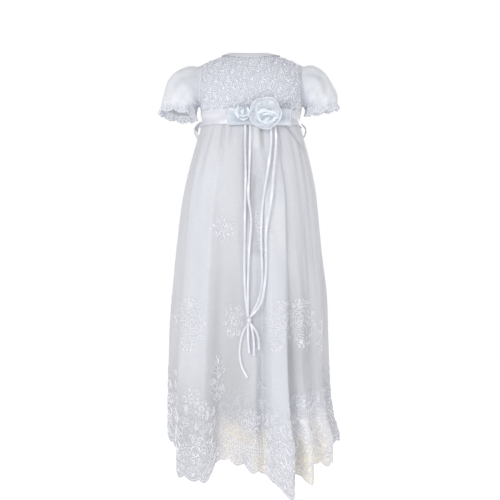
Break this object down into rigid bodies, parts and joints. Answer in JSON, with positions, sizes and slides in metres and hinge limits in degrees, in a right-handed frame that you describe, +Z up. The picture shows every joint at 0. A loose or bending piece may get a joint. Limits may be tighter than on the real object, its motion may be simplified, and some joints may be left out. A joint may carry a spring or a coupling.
{
  "type": "christening dress",
  "caption": "Long infant christening dress in a worn shape: lace bodice, puff sleeves, satin sash with a flower and ribbons, and a gathered net skirt over a lining.",
  "frame": {"origin": "middle of the neck opening at the height of the shoulders, where the dress is held", "axes": "+Z up, the front faces -Y, +X to the right of someone who looks at the front"},
  "size_m": [0.3115, 0.2241, 0.735],
  "materials": {
    "corded_lace": "matte corded lace over plain cloth",
    "embroidered_net": "sheer net with raised embroidery",
    "sleeve_organza": "crisp sheer organza",
    "lining_satin": "soft plain lining",
    "sash_satin": "glossy satin ribbon",
    "button_pearl": "pearl"
  },
  "bodies": {
    "root": {"bodice_front": "corded_lace", "bodice_back_left": "corded_lace", "bodice_back_right": "corded_lace", "neck_binding": "sash_satin", "sleeve_left": "sleeve_organza", "sleeve_right": "sleeve_organza", "sleeve_edging_left": "corded_lace", "sleeve_edging_right": "corded_lace", "skirt_front": "embroidered_net", "skirt_back": "embroidered_net", "lining_front": "lining_satin", "lining_back": "lining_satin", "sash": "sash_satin", "front_band": "sash_satin", "flower_petals": "sleeve_organza", "flower_bud": "sash_satin", "small_flower": "sash_satin", "ribbon_1": "sash_satin", "ribbon_2": "sash_satin", "ribbon_3": "sash_satin", "ribbon_4": "sash_satin", "ribbon_end_1": "sash_satin", "ribbon_end_2": "sash_satin", "ribbon_end_3": "sash_satin", "ribbon_end_4": "sash_satin", "ribbon_knot": "sash_satin", "back_bow_left": "sash_satin", "back_bow_right": "sash_satin", "back_bow_knot": "sash_satin", "back_tail_left": "sash_satin", "back_tail_right": "sash_satin", "button_1": "button_pearl", "button_2": "button_pearl", "button_3": "button_pearl", "button_4": "button_pearl"}
  },
  "joints": []
}
